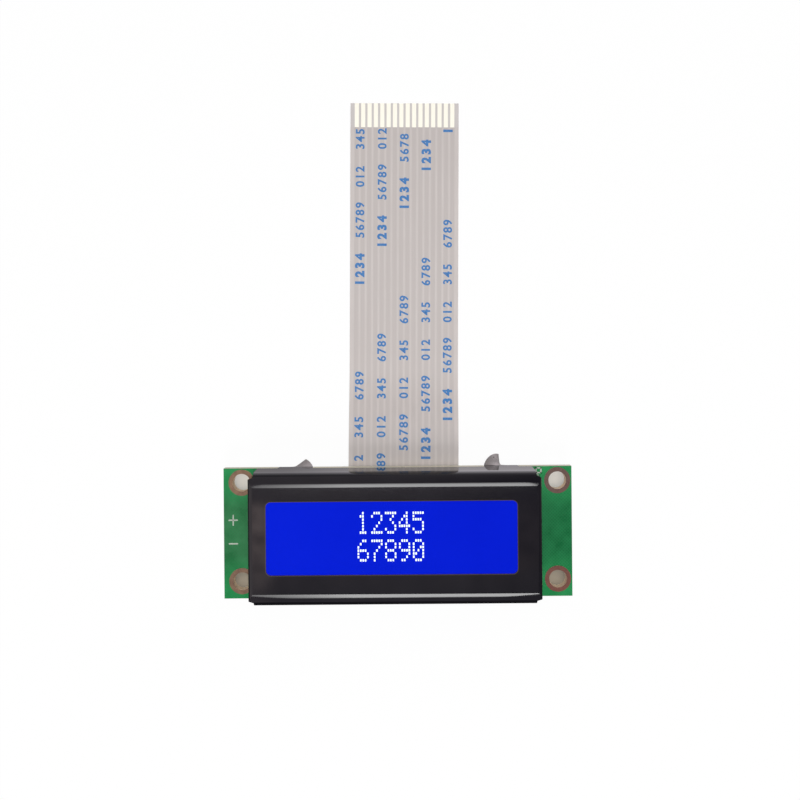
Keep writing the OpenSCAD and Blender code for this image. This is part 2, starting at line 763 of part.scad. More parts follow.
bezel();
circuit_board();
mounting_lands();
front_polarizer();
front_glass();
crystal_layer();
cell_seal();
rear_glass();
rear_polarizer();
elastomer_strips();
elastomer_lands();
backlight_housing();
light_guide();
diffuser_film();
reflector_film();
lamp_board();
lamps_white();
backlight_pins();
pin_lands();
pin_solder();
driver_dies();
epoxy_domes();
resistor_bodies();
resistor_caps();
capacitor_bodies();
capacitor_caps();
chip_lands();
chip_solder();
ribbon_lands();
ribbon_solder();
ribbon_conductors();
ribbon_upper_film();
ribbon_lower_film();
ribbon_stiffener();
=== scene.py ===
import math

import bmesh
import bpy
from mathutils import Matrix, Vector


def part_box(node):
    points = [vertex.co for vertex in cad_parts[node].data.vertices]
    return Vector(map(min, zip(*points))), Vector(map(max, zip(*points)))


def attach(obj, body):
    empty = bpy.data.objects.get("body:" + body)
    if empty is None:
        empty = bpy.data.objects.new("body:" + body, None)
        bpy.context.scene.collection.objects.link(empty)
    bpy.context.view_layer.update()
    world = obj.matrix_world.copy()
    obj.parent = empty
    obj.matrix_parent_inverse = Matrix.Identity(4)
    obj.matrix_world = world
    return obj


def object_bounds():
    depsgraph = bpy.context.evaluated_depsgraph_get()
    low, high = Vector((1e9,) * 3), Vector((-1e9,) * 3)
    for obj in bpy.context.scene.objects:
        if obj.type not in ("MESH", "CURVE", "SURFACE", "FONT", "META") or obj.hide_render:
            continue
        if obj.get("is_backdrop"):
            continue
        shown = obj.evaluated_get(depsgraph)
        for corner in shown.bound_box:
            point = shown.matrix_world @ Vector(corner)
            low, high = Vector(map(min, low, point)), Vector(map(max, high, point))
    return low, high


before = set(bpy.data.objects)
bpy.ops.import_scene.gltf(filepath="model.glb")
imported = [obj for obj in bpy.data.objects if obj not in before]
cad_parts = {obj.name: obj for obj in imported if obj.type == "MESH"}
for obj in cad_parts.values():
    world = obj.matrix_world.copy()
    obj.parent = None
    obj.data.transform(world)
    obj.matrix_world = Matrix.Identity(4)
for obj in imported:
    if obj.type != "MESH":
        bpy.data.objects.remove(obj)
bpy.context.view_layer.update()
scene = bpy.context.scene
scene.view_settings.view_transform = "Standard"

# ---------------------------------------------------------------- camera
# The camera looks straight down on the display from 150 mm above it, a little turned. Its axis
# meets the ribbon, above the middle of the frame, and the frame is shifted down over the board.
MM = 0.001
lens_camera = bpy.data.cameras.new("camera")
lens_camera.sensor_width = 36.0
lens_camera.lens = 44.15
lens_camera.shift_y = -0.069
lens_camera.clip_start = 0.01
camera = bpy.data.objects.new("camera", lens_camera)
camera.location = (0.264 * MM, 28.41 * MM, 151.6 * MM)
camera.rotation_euler = (0.0, 0.0, math.radians(-0.47))
scene.collection.objects.link(camera)
scene.camera = camera

# ---------------------------------------------------------------- lamps
# Two soft boxes hang over the table, one for each long fold of the bezel to mirror. Each is
# brightest along its inner edge, and dies away towards its outer edge and its left end.
lamp_height = 0.60
end_share, edge_share, full_from = 0.30, 0.25, 0.35


def link_up(tree, *pairs):
    for start, end in pairs:
        tree.links.new(start, end)


def put(tree, kind, settings=None, **values):
    """A node of a kind, with its settings, and numbers or links for its named inputs."""
    node = tree.nodes.new("ShaderNode" + kind)
    for key, value in (settings or {}).items():
        setattr(node, key, value)
    for key, value in values.items():
        spot = node.inputs[int(key[1:])] if key[0] == "i" and key[1:].isdigit() else node.inputs[key]
        if isinstance(value, bpy.types.NodeSocket):
            tree.links.new(value, spot)
        else:
            spot.default_value = value
    return node


def sum_of(tree, operation, first, second=0.0, third=0.0):
    return put(tree, "Math", {"operation": operation}, i0=first, i1=second, i2=third).outputs[0]


def range_of(tree, value, low, high, to_low, to_high):
    return put(tree, "MapRange", i0=value, i1=low, i2=high, i3=to_low, i4=to_high).outputs[0]


def axes_of(tree, vector):
    """The X, Y and Z of a place or a direction."""
    return put(tree, "SeparateXYZ", i0=vector).outputs


def soft_box(name, left, right, low_angle, high_angle, brightness, inner_angle, outer_angle):
    """A lamp panel between two ends along X and two angles from straight up, towards +Y."""
    y0, y1, inner, outer = (lamp_height * math.tan(math.radians(angle))
                            for angle in (low_angle, high_angle, inner_angle, outer_angle))
    panel = bpy.data.lights.new(name, "AREA")
    panel.shape = "RECTANGLE"
    panel.size = right - left
    panel.size_y = y1 - y0
    panel.energy = brightness * math.pi * panel.size * panel.size_y
    panel.use_nodes = True
    tree = panel.node_tree
    spot_x, spot_y, _ = axes_of(tree, put(tree, "NewGeometry").outputs["Position"])
    along = range_of(tree, spot_x, left, left * full_from, end_share, 1.0)
    across = range_of(tree, spot_y, inner, outer, 1.0, edge_share)
    link_up(tree, (sum_of(tree, "MULTIPLY", along, across), tree.nodes["Emission"].inputs["Strength"]))
    holder = bpy.data.objects.new(name, panel)
    holder.location = ((left + right) / 2, (y0 + y1) / 2, lamp_height)
    holder.visible_camera = False
    scene.collection.objects.link(holder)


soft_box("soft_box_far", left=-0.1105, right=0.101, low_angle=-6.9, high_angle=24.0, brightness=8.0,
         inner_angle=13.0, outer_angle=24.0)
soft_box("soft_box_near", left=-0.125, right=0.115, low_angle=-54.0, high_angle=-25.0, brightness=9.8,
         inner_angle=-46.0, outer_angle=-54.0)

# ---------------------------------------------------------------- room
# The ceiling between the lamps is dim, with a warm and patchy glow to the left, a haze on the
# far side and a pale wall at the left end. The far side of the room gives the even light.
ceiling_tones = ((0.22, (0.26, 0.24, 0.29, 1.0)), (0.36, (0.14, 0.13, 0.16, 1.0)),
                 (0.413, (0.15, 0.14, 0.17, 1.0)), (0.423, (0.34, 0.32, 0.36, 1.0)),
                 (0.440, (0.19, 0.17, 0.22, 1.0)), (0.62, (0.08, 0.07, 0.10, 1.0)),
                 (1.0, (0.36, 0.34, 0.38, 1.0)))
dark_corner, warm_glow = (0.02, 0.02, 0.03, 1.0), (2.20, 1.80, 1.72, 1.0)
pale_haze, pale_wall = (0.50, 0.45, 0.49, 1.0), (0.85, 0.76, 0.78, 1.0)
pure_white = (1.0, 1.0, 1.0, 1.0)


def blend_of(tree, share, first, second):
    return put(tree, "Mix", {"data_type": "RGBA"}, i0=share, i6=first, i7=second).outputs[2]


def shade(tree, value, *stops):
    """Colours between stops of (position, colour) along a value."""
    ramp = put(tree, "ValToRGB", Fac=value)
    for index, (position, colour) in enumerate(stops):
        stop = ramp.color_ramp.elements[index] if index < 2 else ramp.color_ramp.elements.new(position)
        stop.position = position
        stop.color = colour
    return ramp.outputs["Color"]


def grain(tree, place, size, detail=2.0, stretch=(1.0, 1.0, 1.0)):
    """Soft noise whose marks are about one size across, in metres."""
    spread = put(tree, "Mapping", Vector=place, Scale=stretch)
    return put(tree, "TexNoise", Vector=spread.outputs[0], Scale=1.0 / size, Detail=detail).outputs["Fac"]


room = bpy.data.worlds.new("room")
room.use_nodes = True
scene.world = room
sky = room.node_tree
towards = put(sky, "TexCoord").outputs["Generated"]
to_right, to_far, to_top = axes_of(sky, towards)
turn_over = sum_of(sky, "ARCTAN2", to_far, to_top)
ceiling = shade(sky, range_of(sky, turn_over, -math.pi / 2, math.pi / 2, 0.0, 1.0), *ceiling_tones)
ceiling = blend_of(sky, range_of(sky, to_right, 0.04, 0.12, 0.0, 0.35), ceiling, dark_corner)

left_end = range_of(sky, to_right, -0.143, -0.118, 1.0, 0.1)
glow_strip = sum_of(sky, "MULTIPLY", range_of(sky, turn_over, -0.165, -0.152, 1.0, 0.0),
                    range_of(sky, turn_over, -0.245, -0.222, 0.2, 1.0))
patches = range_of(sky, grain(sky, towards, 0.014, 3.0), 0.40, 0.66, 0.15, 1.0)
glow = sum_of(sky, "MULTIPLY", sum_of(sky, "MULTIPLY", left_end, glow_strip), patches)
mirrored = blend_of(sky, glow, ceiling, warm_glow)
haze = sum_of(sky, "MULTIPLY", range_of(sky, turn_over, -0.165, -0.152, 0.0, 1.0),
              range_of(sky, to_right, -0.10, 0.12, 1.0, 0.0))
mirrored = blend_of(sky, haze, mirrored, pale_haze)
left_wall = range_of(sky, to_right, -0.30, -0.20, 1.0, 0.0)
mirrored = blend_of(sky, left_wall, mirrored, pale_wall)

even_light = range_of(sky, turn_over, -0.3, 0.8, 0.14, 0.85)
seen = put(sky, "LightPath")
lit_by = blend_of(sky, seen.outputs["Is Diffuse Ray"], mirrored, even_light)
behind = blend_of(sky, seen.outputs["Is Camera Ray"], lit_by, pure_white)
link_up(sky, (behind, sky.nodes["Background"].inputs["Color"]))

# ---------------------------------------------------------------- table
# A white table just under the ribbon. Where the board's mounting holes show it, it is warm grey
# with painted shade that deepens towards the near side. Metal and glass mirror a painted reflection
# of it: a lit sheet with painted contact shadow by the board, dimmer to the left, that dies away
# into the dark near side, and it throws soft light up at the underside of the module.
table_reach, table_z = 2.0, -3.01 * MM
shadow_edges = ((0, -27.0, -27.4), (0, 26.4, 26.8), (1, -10.5, -10.95), (1, 8.9, 9.3))
painted_sheet_tones = ((0.0, (0.02, 0.02, 0.02, 1.0)), (0.24, (0.30, 0.28, 0.29, 1.0)),
               (0.262, (0.75, 0.71, 0.75, 1.0)), (0.284, (1.70, 1.62, 1.73, 1.0)),
               (0.35, (1.70, 1.62, 1.73, 1.0)), (0.48, (0.70, 0.67, 0.72, 1.0)),
               (1.0, (0.40, 0.38, 0.42, 1.0)))
table_white, under_light = (0.93, 0.93, 0.93, 1.0), (0.60, 0.60, 0.60, 1.0)
white_in_open, white_in_shade = 0.95, 0.30


def paint(red, green, blue):
    """A linear colour from the three values of a paint chip, 0 to 255."""
    def straight(value):
        part = value / 255.0
        return part / 12.92 if part <= 0.04045 else ((part + 0.055) / 1.055) ** 2.4
    return (straight(red), straight(green), straight(blue), 1.0)


def finish_named(name, **values):
    """A new material: its tree, its Principled shader set to even values, and its coordinates."""
    sockets = {"colour": "Base Color", "rough": "Roughness", "metal": "Metallic",
               "gloss": "Specular IOR Level", "coat": "Coat Weight", "coat_rough": "Coat Roughness",
               "glow": "Emission Strength", "see_through": "Alpha"}
    finish = bpy.data.materials.new(name)
    finish.use_nodes = True
    nodes = finish.node_tree.nodes
    shader = nodes["Principled BSDF"]
    for key, value in values.items():
        shader.inputs[sockets[key]].default_value = value
    return finish.node_tree, shader, nodes.new("ShaderNodeTexCoord").outputs["Object"]


table_mesh = bpy.data.meshes.new("table")
table_mesh.from_pydata([(-table_reach, -table_reach, table_z), (table_reach, -table_reach, table_z),
                        (table_reach, table_reach, table_z), (-table_reach, table_reach, table_z)],
                       [], [(0, 1, 2, 3)])
table = bpy.data.objects.new("table", table_mesh)
scene.collection.objects.link(table)
table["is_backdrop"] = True

tree, shader, place = finish_named("white_table", rough=0.9, gloss=0.1)
on_table = axes_of(tree, place)
painted_light_far_side = range_of(tree, on_table[1], -9.0 * MM, 9.0 * MM, 0.0, 1.0)
in_open = 0.0
for axis, shaded, clear in shadow_edges:
    beside = range_of(tree, on_table[axis], shaded * MM, clear * MM, 0.0, 1.0)
    in_open = sum_of(tree, "MAXIMUM", in_open, beside)
# Painted shade: under the board the table is darker towards the near side, and camera rays see some white
# only on its far side.
painted_warm_shade = blend_of(tree, painted_light_far_side, paint(168, 154, 138), paint(232, 219, 206))
link_up(tree, (blend_of(tree, in_open, painted_warm_shade, table_white), shader.inputs["Base Color"]))
seen = put(tree, "LightPath")
mirrored = sum_of(tree, "MAXIMUM", seen.outputs["Is Glossy Ray"], seen.outputs["Is Transmission Ray"])
white_share = sum_of(tree, "MULTIPLY", seen.outputs["Is Camera Ray"],
                     sum_of(tree, "MAXIMUM", sum_of(tree, "MULTIPLY", in_open, white_in_open),
                            sum_of(tree, "MULTIPLY", painted_light_far_side, white_in_shade)))
# Painted reflection: metal and glass see the table as a glowing sheet, with painted contact shadow by the
# board, a bright band beyond, a dark near side, and dimmer to the left.
painted_sheet_light = shade(tree, range_of(tree, on_table[1], -20.0 * MM, 100.0 * MM, 0.0, 1.0), *painted_sheet_tones)
brighter_reflection_right = range_of(tree, on_table[0], -18.0 * MM, 4.0 * MM, 0.55, 1.0)
white = put(tree, "Emission")
thrown_up = put(tree, "Emission", Color=under_light)
painted_sheet_reflection = put(tree, "Emission", Color=painted_sheet_light, Strength=brighter_reflection_right)
nothing = put(tree, "BsdfTransparent")
look = shader
for share, other in ((white_share, white), (seen.outputs["Is Diffuse Ray"], thrown_up), (mirrored, painted_sheet_reflection),
                     (put(tree, "NewGeometry").outputs["Backfacing"], nothing)):
    look = put(tree, "MixShader", i0=share, i1=look.outputs[0], i2=other.outputs[0])
link_up(tree, (look.outputs[0], tree.nodes["Material Output"].inputs["Surface"]))
table_mesh.materials.append(bpy.data.materials["white_table"])

# ---------------------------------------------------------------- circuit board
# A routed glass-epoxy laminate with green solder mask over hatched copper on both faces, and
# raw cut edges that show the pale resin. The tabs' notches are cut in its long edges.
hatch_pitch, hatch_width, hatch_share = 0.25 * MM, 0.12 * MM, 0.40


def tones(tree, marks, dark, pale, low=0.3, high=0.7):
    """Two paint chips along a noise: one up to a low value, the other from a high one."""
    return shade(tree, marks, (low, paint(*dark)), (high, paint(*pale)))


def facing_up(tree):
    """The upward part of a face's normal: 1 on top, 0 on a wall and -1 underneath."""
    return axes_of(tree, put(tree, "NewGeometry").outputs["Normal"])[2]


def on_walls(tree):
    return range_of(tree, sum_of(tree, "ABSOLUTE", facing_up(tree)), 0.3, 0.6, 1.0, 0.0)


def polish(tree, marks, smooth, dull):
    """A roughness that follows a noise, from a smooth value to a dull one."""
    return range_of(tree, marks, 0.2, 0.8, smooth, dull)


def surface(tree, shader, colour, rough, height, depth, strength=0.5, coloured="Base Color"):
    """Gives a shader its colour and roughness, and bump from a height of 0 to 1 over a depth."""
    bump = put(tree, "Bump", Strength=strength, Distance=depth, Height=height)
    link_up(tree, (colour, shader.inputs[coloured]), (rough, shader.inputs["Roughness"]),
            (bump.outputs[0], shader.inputs["Normal"]))


def dress(finish, *nodes):
    """Puts a finish on the material slots of CAD nodes."""
    for node in nodes:
        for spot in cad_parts[node].material_slots:
            spot.material = bpy.data.materials[finish]


tree, shader, place = finish_named("green_mask", gloss=0.10)
x, y, _ = axes_of(tree, place)
lines = []
for sign in (1.0, -1.0):
    diagonal = sum_of(tree, "MULTIPLY_ADD", y, sign, x)
    wave = sum_of(tree, "PINGPONG", diagonal, hatch_pitch)
    lines.append(range_of(tree, wave, hatch_width / 3, hatch_width, 1.0, 0.0))
hatch = sum_of(tree, "MAXIMUM", *lines)
mottle = grain(tree, place, 2.4 * MM, 4.0)
# Paler, greyer green towards the left end.
greyer_left_end = range_of(tree, x, -22.0 * MM, 10.0 * MM, 0.9, 0.0)
left_graded_green = blend_of(tree, greyer_left_end, tones(tree, mottle, (6, 90, 48), (16, 106, 60)),
                      tones(tree, mottle, (38, 98, 58), (58, 116, 76)))
long_edges = range_of(tree, sum_of(tree, "ABSOLUTE", y), 3.5 * MM, 8.0 * MM, 0.0, 0.85)
thin_mask = sum_of(tree, "MULTIPLY_ADD", hatch, hatch_share, long_edges)
face_green = blend_of(tree, thin_mask, left_graded_green, tones(tree, mottle, (24, 124, 66), (40, 140, 80)))
glass_cloth = grain(tree, place, 0.12 * MM, 3.0, (1.0, 1.0, 4.0))
resin = tones(tree, glass_cloth, (206, 198, 174), (226, 219, 200))
surface(tree, shader, blend_of(tree, on_walls(tree), face_green, resin),
        polish(tree, mottle, 0.24, 0.36),
        sum_of(tree, "MULTIPLY_ADD", hatch, 0.5, mottle), 0.006 * MM)
dress("green_mask", "circuit_board")

# ---------------------------------------------------------------- plated holes and lands
# Bare copper eyelets round the four mounting holes, drilled and plated, with stains; they are
# brightest at the far left, duller to the right and reddest at the near right corner. The lands
# under pins, chip parts, ribbon and rubber are plated with gold.
stain_size, pit_size, etch_depth = 0.9 * MM, 0.06 * MM, 0.006 * MM


def one_grain(name, size, dark, pale, rough, depth, detail=3.0, strength=0.5, high=0.7,
              stretch=(1.0, 1.0, 1.0), **values):
    """A finish whose two tones, roughness and bump all follow one noise, with sizes in mm."""
    tree, shader, place = finish_named(name, **values)
    marks = grain(tree, place, size * MM, detail, stretch)
    surface(tree, shader, tones(tree, marks, dark, pale, high=high),
            polish(tree, marks, *rough), marks, depth * MM, strength)


tree, shader, place = finish_named("tarnished_copper", metal=0.25, gloss=0.3)
x, y, _ = axes_of(tree, place)
# Colour goes from brighter at the far left to duller at the right, reddest at the near right corner.
near_right = range_of(tree, sum_of(tree, "SUBTRACT", x, y), -30.0 * MM, 30.0 * MM, 0.0, 1.0)
copper = shade(tree, near_right, (0.0, paint(128, 101, 78)), (0.25, paint(120, 94, 74)),
               (0.77, paint(96, 77, 70)), (1.0, paint(116, 68, 56)))
stain = grain(tree, place, stain_size, 4.0)
stained = blend_of(tree, range_of(tree, stain, 0.35, 0.70, 0.55, 0.0), copper, paint(78, 50, 42))
surface(tree, shader, blend_of(tree, on_walls(tree), stained, paint(232, 212, 182)),
        polish(tree, stain, 0.38, 0.55), grain(tree, place, pit_size), etch_depth)
dress("tarnished_copper", "mounting_lands")

one_grain("gold_land", 0.05, (214, 168, 92), (236, 200, 132), (0.26, 0.40), 0.004, detail=2.0, metal=1.0)
dress("gold_land", "pin_lands", "chip_lands", "ribbon_lands", "elastomer_lands")

# ---------------------------------------------------------------- rear tracks and vias
# Copper tracks under the mask on the rear face fan out from the ribbon's lands to the two driver
# chips, and from those to rows of tented vias. Three more runs feed the backlight and its chips.
ribbon_x, land_y, way_pitch, ways, land_lap = 0.65 * MM, 6.59 * MM, 1.0 * MM, 16, 0.2 * MM
left_chip, right_chip, chips_y, rim_r = -9.48 * MM, 10.02 * MM, -0.97 * MM, 4.2 * MM
track_width, track_height, track_z = 0.26 * MM, 0.018 * MM, -0.003 * MM
via_radius, via_depth, vias_each_row = 0.34 * MM, 0.03 * MM, 8
first_via, via_step, far_vias_y, near_vias_y, near_set_in = 1.6, 1.15, 7.0 * MM, -7.6 * MM, 2.4 * MM
beside_ribbon = 9.4 * MM
way_angle, way_turn, via_angle, via_turn = 80.0, 8.5, 66.0, 9.0
supply_runs = (((-20.135, 1.8), (-19.3, 2.56), (-19.3, 6.9), (-18.2, 8.0), (-9.0, 8.0)),
               ((-20.135, -1.8), (-19.0, -2.86), (-19.0, -6.4), (-16.9, -8.5), (-5.6, -8.5)),
               ((17.6, 3.9), (19.0, 5.3), (19.0, 7.4), (18.3, 8.1), (10.2, 8.1)))


def geometry_tree(name, *sizes):
    """An empty Geometry Nodes tree with named sizes and a finish as its inputs."""
    tree = bpy.data.node_groups.new(name, "GeometryNodeTree")
    tree.interface.new_socket("Geometry", in_out="INPUT", socket_type="NodeSocketGeometry")
    for size in sizes:
        tree.interface.new_socket(size, in_out="INPUT", socket_type="NodeSocketFloat")
    tree.interface.new_socket("Finish", in_out="INPUT", socket_type="NodeSocketMaterial")
    tree.interface.new_socket("Geometry", in_out="OUTPUT", socket_type="NodeSocketGeometry")
    return tree, tree.nodes.new("NodeGroupInput").outputs


def step(tree, kind, **values):
    """A geometry node of a kind, with numbers or links for its named inputs."""
    node = tree.nodes.new(kind)
    for key, value in values.items():
        spot = node.inputs[key.replace("_", " ")]
        if isinstance(value, bpy.types.NodeSocket):
            tree.links.new(value, spot)
        else:
            spot.default_value = value
    return node


def close_tree(tree, given, geometry):
    real = step(tree, "GeometryNodeRealizeInstances", Geometry=geometry)
    finish = step(tree, "GeometryNodeSetMaterial", Geometry=real.outputs[0], Material=given["Finish"])
    tree.links.new(finish.outputs[0], tree.nodes.new("NodeGroupOutput").inputs["Geometry"])


def show(name, mesh, finish=None):
    """Puts a finished mesh in the scene as a piece of the module."""
    if finish:
        mesh.materials.append(bpy.data.materials[finish])
    piece = bpy.data.objects.new(name, mesh)
    scene.collection.objects.link(piece)
    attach(piece, "root")


def grow(name, points, edges, tree, finish, slot, **sizes):
    """Runs a tree on points and edges, and keeps the result as a plain mesh."""
    start = bpy.data.meshes.new(name + "_start")
    start.from_pydata(points, edges, [])
    holder = bpy.data.objects.new(name + "_start", start)
    scene.collection.objects.link(holder)
    modifier = holder.modifiers.new(name, "NODES")
    modifier.node_group = tree
    given = {**sizes, "Finish": bpy.data.materials[finish]}
    for item in tree.interface.items_tree:
        if item.in_out == "INPUT" and item.name in given:
            modifier[item.identifier] = given[item.name]
    graph = bpy.context.evaluated_depsgraph_get()
    mesh = bpy.data.meshes.new_from_object(holder.evaluated_get(graph), depsgraph=graph)
    bpy.data.objects.remove(holder)
    mesh.name = name
    show(name, mesh)


track_tree, given = geometry_tree("tracks", "Width", "Height")
line = step(track_tree, "GeometryNodeMeshToCurve", Mesh=given["Geometry"])
level = step(track_tree, "GeometryNodeSetCurveNormal", Curve=line.outputs[0])
level.mode = "Z_UP"
section = step(track_tree, "GeometryNodeCurvePrimitiveQuadrilateral", Width=given["Height"],
               Height=given["Width"])
swept = step(track_tree, "GeometryNodeCurveToMesh", Curve=level.outputs[0],
             Profile_Curve=section.outputs[0], Fill_Caps=True)
close_tree(track_tree, given, swept.outputs[0])

via_tree, given = geometry_tree("tented_vias", "Radius", "Depth")
bump = step(via_tree, "GeometryNodeMeshCylinder", Vertices=14, Radius=given["Radius"], Depth=given["Depth"])
spread = step(via_tree, "GeometryNodeInstanceOnPoints", Points=given["Geometry"], Instance=bump.outputs[0])
close_tree(via_tree, given, spread.outputs[0])

points, edges, vias = [], [], []


def lay_track(*corners):
    first = len(points)
    points.extend((x, y, track_z) for x, y in corners)
    edges.extend((first + i, first + i + 1) for i in range(len(corners) - 1))


def chip_rim(middle, angle):
    """A point at an angle on the rim of a chip's drop of epoxy."""
    return (middle + rim_r * math.cos(math.radians(angle)), chips_y + rim_r * math.sin(math.radians(angle)))


for way in range(ways):
    x = ribbon_x + (way - (ways - 1) / 2) * way_pitch
    left = way < ways // 2
    angle = way_angle - way_turn * way if left else 180.0 - way_angle + way_turn * (ways - 1 - way)
    end_x, end_y = chip_rim(left_chip if left else right_chip, angle)
    lay_track((x, land_y + land_lap), (x, end_y + abs(x - end_x)), (end_x, end_y))
for side, middle in ((1, right_chip), (-1, left_chip)):
    for row in range(vias_each_row):
        far_x = middle + side * (first_via + via_step * row) * MM
        near_x = far_x - side * near_set_in
        angle = via_angle - via_turn * row if side > 0 else 180.0 - via_angle + via_turn * row
        if abs(far_x) > beside_ribbon and row < vias_each_row - 1:
            x, y = chip_rim(middle, angle)
            lay_track((x, y), (far_x, y + abs(far_x - x)), (far_x, far_vias_y))
            vias.append((far_x, far_vias_y, track_z))
        x, y = chip_rim(middle, -angle)
        lay_track((x, y), (near_x, y - abs(near_x - x)), (near_x, near_vias_y))
        vias.append((near_x, near_vias_y, track_z))
for run in supply_runs:
    lay_track(*((x * MM, y * MM) for x, y in run))

tree, shader, place = finish_named("masked_copper", gloss=0.42)
cloudy = grain(tree, place, 1.8 * MM, 3.0)
surface(tree, shader, tones(tree, cloudy, (62, 132, 88), (84, 152, 104)),
        polish(tree, cloudy, 0.28, 0.42), grain(tree, place, 0.1 * MM), 0.003 * MM, 0.4)
grow("rear_tracks", points, edges, track_tree, "masked_copper", "circuit_board",
     Width=track_width, Height=track_height)
grow("rear_vias", vias, [], via_tree, "masked_copper", "circuit_board", Radius=via_radius, Depth=via_depth)

# ---------------------------------------------------------------- white ink
# Screen-printed white epoxy ink. In front it marks the backlight's two pins and a corner. On the
# rear it outlines the chip parts and the drops of epoxy, and numbers the ribbon's end ways.
board_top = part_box("circuit_board")[1].z
ink_width, ink_height, ink_sink = 0.21 * MM, 0.02 * MM, 0.004 * MM
sign_x, sign_y, sign_reach = -25.45 * MM, 1.8 * MM, 0.62 * MM
sign_gap, sign_tall = ink_width * 0.55, sign_reach * 1.2
corner_x, corner_y, corner_half, corner_width = 21.28 * MM, 9.06 * MM, 0.36 * MM, 0.22 * MM
chip_outlines = ((0.25, 2.6, 1.9, 1.0), (0.25, -1.8, 1.9, 1.0), (17.6, 2.4, 1.0, 1.9),
                 (-17.4, 2.4, 1.0, 1.9), (-17.4, -2.4, 1.0, 1.9))
outline_width, ring_width, ring_r, ring_steps, rear_ink_z = 0.15 * MM, 0.18 * MM, 5.1 * MM, 60, -0.022 * MM
number_height, number_thick, number_z = 1.3 * MM, 0.03 * MM, -0.006 * MM
end_ways = (("1", -9.1 * MM, 7.4 * MM), ("16", 11.7 * MM, 7.4 * MM))


def outline_mesh(name, shapes, z0, z1):
    """Closed plates between two heights, each from a loop of corners given anticlockwise."""
    made = bmesh.new()
    for corners in shapes:
        low = [made.verts.new((x, y, z0)) for x, y in corners]
        high = [made.verts.new((x, y, z1)) for x, y in corners]
        made.faces.new(list(reversed(low)))
        made.faces.new(high)
        for i in range(len(corners)):
            j = (i + 1) % len(corners)
            made.faces.new((low[i], low[j], high[j], high[i]))
    mesh = bpy.data.meshes.new(name)
    made.to_mesh(mesh)
    made.free()
    return mesh


def bar(x0, y0, x1, y1, width, ends=5):
    """A stroke with round ends between two points, as a loop of corners."""
    turn = math.atan2(y1 - y0, x1 - x0)
    loop = []
    for x, y, start in ((x1, y1, turn - math.pi / 2), (x0, y0, turn + math.pi / 2)):
        for k in range(ends + 1):
            a = start + math.pi * k / ends
            loop.append((x + width / 2 * math.cos(a), y + width / 2 * math.sin(a)))
    return loop


def bars_round(corners, width, ends=5):
    """A stroke from each corner to the next, and from the last to the first."""
    return [bar(*start, *end, width, ends) for start, end in zip(corners, corners[1:] + corners[:1])]


def box_corners(x, y, half_x, half_y):
    return [(x + sx * half_x, y + sy * half_y) for sx, sy in ((-1, -1), (1, -1), (1, 1), (-1, 1))]


def digit_plate(digits, height, thick, weight=0.0):
    """Plain digits in the built-in font as a closed mesh, upright in X and Y."""
    height_in_font = 0.729
    letters = bpy.data.curves.new("digits", "FONT")
    letters.body = digits
    letters.size = height / height_in_font
    letters.extrude = thick / 2
    letters.offset = weight
    letters.resolution_u = 3
    holder = bpy.data.objects.new("digits", letters)
    scene.collection.objects.link(holder)
    graph = bpy.context.evaluated_depsgraph_get()
    mesh = bpy.data.meshes.new_from_object(holder.evaluated_get(graph), depsgraph=graph)
    bpy.data.objects.remove(holder)
    made = bmesh.new()
    made.from_mesh(mesh)
    bmesh.ops.remove_doubles(made, verts=made.verts, dist=1e-7)
    bmesh.ops.recalc_face_normals(made, faces=made.faces)
    bpy.data.meshes.remove(mesh)
    return made


def merged(name, parts, spot):
    """One mesh from several, each point moved by a function of its part's own place."""
    joined = bmesh.new()
    for part, x, y in parts:
        copied = {v: joined.verts.new(spot(v.co, x, y)) for v in part.verts}
        for face in part.faces:
            joined.faces.new([copied[v] for v in face.verts])
    bmesh.ops.recalc_face_normals(joined, faces=joined.faces)
    mesh = bpy.data.meshes.new(name)
    joined.to_mesh(mesh)
    joined.free()
    return mesh


def read_from_below(co, x, y):
    """A digit's point on the rear face, turned over to be read from underneath."""
    return (x - co.x, y + co.y, number_z - co.z)


one_grain("white_ink", 0.12, (150, 164, 148), (188, 196, 184), (0.5, 0.7), 0.006, strength=0.6, high=0.65,
          gloss=0.3)
front_shapes = [bar(sign_x - sign_reach, sign_y, sign_x - sign_gap, sign_y, ink_width),
                bar(sign_x + sign_gap, sign_y, sign_x + sign_reach, sign_y, ink_width),
                bar(sign_x, sign_y - sign_tall, sign_x, sign_y + sign_tall, ink_width),
                bar(sign_x - sign_reach, -sign_y, sign_x + sign_reach, -sign_y, ink_width)]
front_shapes += bars_round(box_corners(corner_x, corner_y, corner_half, corner_half), corner_width)
show("front_ink", outline_mesh("front_ink", front_shapes, board_top - ink_sink, board_top + ink_height),
     "white_ink")

rear_shapes = []
for outline in chip_outlines:
    rear_shapes += bars_round(box_corners(*(value * MM for value in outline)), outline_width)
for middle in (left_chip, right_chip):
    around = [(middle + ring_r * math.cos(math.tau * k / ring_steps),
               chips_y + ring_r * math.sin(math.tau * k / ring_steps)) for k in range(ring_steps)]
    rear_shapes += bars_round(around, ring_width, 3)
show("rear_ink", outline_mesh("rear_ink", rear_shapes, rear_ink_z, ink_sink), "white_ink")
numbers = [(digit_plate(digits, number_height, number_thick), x, y) for digits, x, y in end_ways]
show("way_numbers", merged("way_numbers", numbers, read_from_below), "white_ink")

